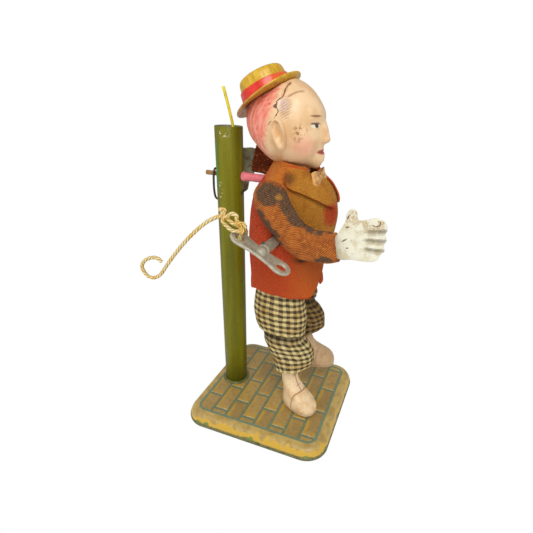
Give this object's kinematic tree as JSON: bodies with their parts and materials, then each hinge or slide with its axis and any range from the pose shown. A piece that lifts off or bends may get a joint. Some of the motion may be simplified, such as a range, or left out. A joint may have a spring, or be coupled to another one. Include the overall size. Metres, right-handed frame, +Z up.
{
  "type": "wind-up tap dancer toy",
  "caption": "Jointed wind-up dancing figure in felt jacket, check trousers and hat, hung by a rod and sleeve from a post on a square printed tin base, with a side key and string.",
  "frame": {"origin": "middle of the underside of the base", "axes": "+Z up; the figure faces -Y and the post stands behind it at +Y; the figure's right side, with the key, is at -X"},
  "size_m": [0.0904, 0.129, 0.2062],
  "materials": {
    "base_print": "printed brick pattern, worn, satin",
    "base_tin": "bare sheet metal",
    "post_paint": "olive paint, worn",
    "rod_yellow": "yellow paint",
    "rod_wood": "plain, round",
    "steel_wire": "dark, oxidised",
    "pink_tube": "glossy pink tube",
    "motor_brass": "brushed",
    "motor_steel": "brushed",
    "spring_steel": "blued",
    "jacket_felt": "orange-red felt, faded to golden brown in front",
    "sleeve_twill": "brown twill with dark stains",
    "trouser_check": "cream and black gingham",
    "hand_paint": "off-white paint, scuffed",
    "shoe_skin": "cream with painted seams",
    "celluloid_skin": "skin colour with coral hair",
    "hat_celluloid": "mustard yellow",
    "band_red": "red",
    "key_nickel": "dulled nickel",
    "string_cotton": "stiff old cotton string"
  },
  "bodies": {
    "stand": {"base_cover": "base_print", "base_plate": "base_tin", "post_tube": "post_paint", "post_collar": "post_paint", "sign_rod": "rod_yellow", "support_rod": "rod_wood", "rod_end_collar": "motor_steel", "rod_clip": "steel_wire"},
    "hanger": {"pink_sleeve": "pink_tube", "hanger_yoke": "motor_brass"},
    "torso": {"motor_plate_right": "motor_brass", "motor_plate_left": "motor_brass", "pillar_low_front": "motor_steel", "pillar_low_back": "motor_steel", "pillar_high_front": "motor_steel", "mainspring": "spring_steel", "neck_post": "motor_steel", "shoulder_stud_right": "motor_steel", "shoulder_stud_left": "motor_steel", "hip_pin_right": "motor_steel", "hip_pin_left": "motor_steel", "jacket_body": "jacket_felt", "jacket_collar": "jacket_felt", "jacket_lapel_right": "jacket_felt", "jacket_lapel_left": "jacket_felt"},
    "key": {"winding_arbor": "motor_steel", "ratchet_wheel": "motor_brass", "key_shank": "key_nickel", "key_bow": "key_nickel", "key_string_knot": "string_cotton", "key_string_tail": "string_cotton"},
    "great_wheel_body": {"great_wheel": "motor_brass", "click_pawl": "motor_steel"},
    "second_wheel_body": {"second_arbor": "motor_steel", "second_wheel": "motor_brass"},
    "cam_body": {"cam_arbor": "motor_steel", "bounce_cam": "motor_brass"},
    "head_body": {"head": "celluloid_skin", "hat": "hat_celluloid", "hat_band": "band_red"},
    "right_arm": {"right_arm_strip": "motor_steel", "right_sleeve": "sleeve_twill", "right_hand": "hand_paint"},
    "left_arm": {"left_arm_strip": "motor_steel", "left_sleeve": "sleeve_twill", "left_hand": "hand_paint"},
    "right_thigh": {"right_thigh_link": "motor_steel", "right_knee_rivet": "motor_steel", "right_trouser_upper": "trouser_check"},
    "right_shin": {"right_shin_link": "motor_steel", "right_trouser_lower": "trouser_check", "right_shoe": "shoe_skin"},
    "left_thigh": {"left_thigh_link": "motor_steel", "left_knee_rivet": "motor_steel", "left_trouser_upper": "trouser_check"},
    "left_shin": {"left_shin_link": "motor_steel", "left_trouser_lower": "trouser_check", "left_shoe": "shoe_skin"}
  },
  "joints": [
    {"name": "body_sway", "type": "hinge", "parent": "stand", "child": "hanger", "pos_m": [0, 0.01, 0.152], "axis": [0, 1, 0], "range_deg": [-4, 4]},
    {"name": "body_bounce", "type": "slide", "parent": "hanger", "child": "torso", "axis": [0, 0, 1], "range_m": [0, 0.0018]},
    {"name": "key_wind", "type": "hinge", "parent": "torso", "child": "key", "pos_m": [-0.02, -0.0041, 0.124], "axis": [1, 0, 0], "continuous": true},
    {"name": "great_wheel_turn", "type": "hinge", "parent": "torso", "child": "great_wheel_body", "pos_m": [0, -0.0041, 0.124], "axis": [1, 0, 0], "continuous": true},
    {"name": "second_wheel_turn", "type": "hinge", "parent": "torso", "child": "second_wheel_body", "pos_m": [0, -0.00713, 0.13958], "axis": [1, 0, 0], "continuous": true},
    {"name": "cam_turn", "type": "hinge", "parent": "torso", "child": "cam_body", "pos_m": [0, 0.00337, 0.14259], "axis": [1, 0, 0], "continuous": true},
    {"name": "head_turn", "type": "hinge", "parent": "torso", "child": "head_body", "pos_m": [0, -0.009, 0.1645], "axis": [0, 0, 1], "range_deg": [-15, 15]},
    {"name": "right_arm_swing", "type": "hinge", "parent": "torso", "child": "right_arm", "pos_m": [-0.0231, -0.0045, 0.147], "axis": [-1, 0, 0], "range_deg": [0, 30]},
    {"name": "left_arm_swing", "type": "hinge", "parent": "torso", "child": "left_arm", "pos_m": [0.0231, -0.0045, 0.147], "axis": [-1, 0, 0], "range_deg": [-4, 10]},
    {"name": "right_hip_swing", "type": "hinge", "parent": "torso", "child": "right_thigh", "pos_m": [-0.0098, -0.005, 0.098], "axis": [-1, 0, 0], "range_deg": [0, 9]},
    {"name": "right_knee_swing", "type": "hinge", "parent": "right_thigh", "child": "right_shin", "pos_m": [-0.0098, -0.008, 0.062], "axis": [-1, 0, 0], "range_deg": [0, 12]},
    {"name": "left_hip_swing", "type": "hinge", "parent": "torso", "child": "left_thigh", "pos_m": [0.0098, -0.005, 0.1136], "axis": [-1, 0, 0], "range_deg": [-3, 5]},
    {"name": "left_knee_swing", "type": "hinge", "parent": "left_thigh", "child": "left_shin", "pos_m": [0.0098, -0.008, 0.0776], "axis": [-1, 0, 0], "range_deg": [-6, 10]}
  ],
  "couplings": [
    {"joint": "second_wheel_turn", "follows": "great_wheel_turn", "ratio": -4},
    {"joint": "cam_turn", "follows": "great_wheel_turn", "ratio": 12}
  ]
}
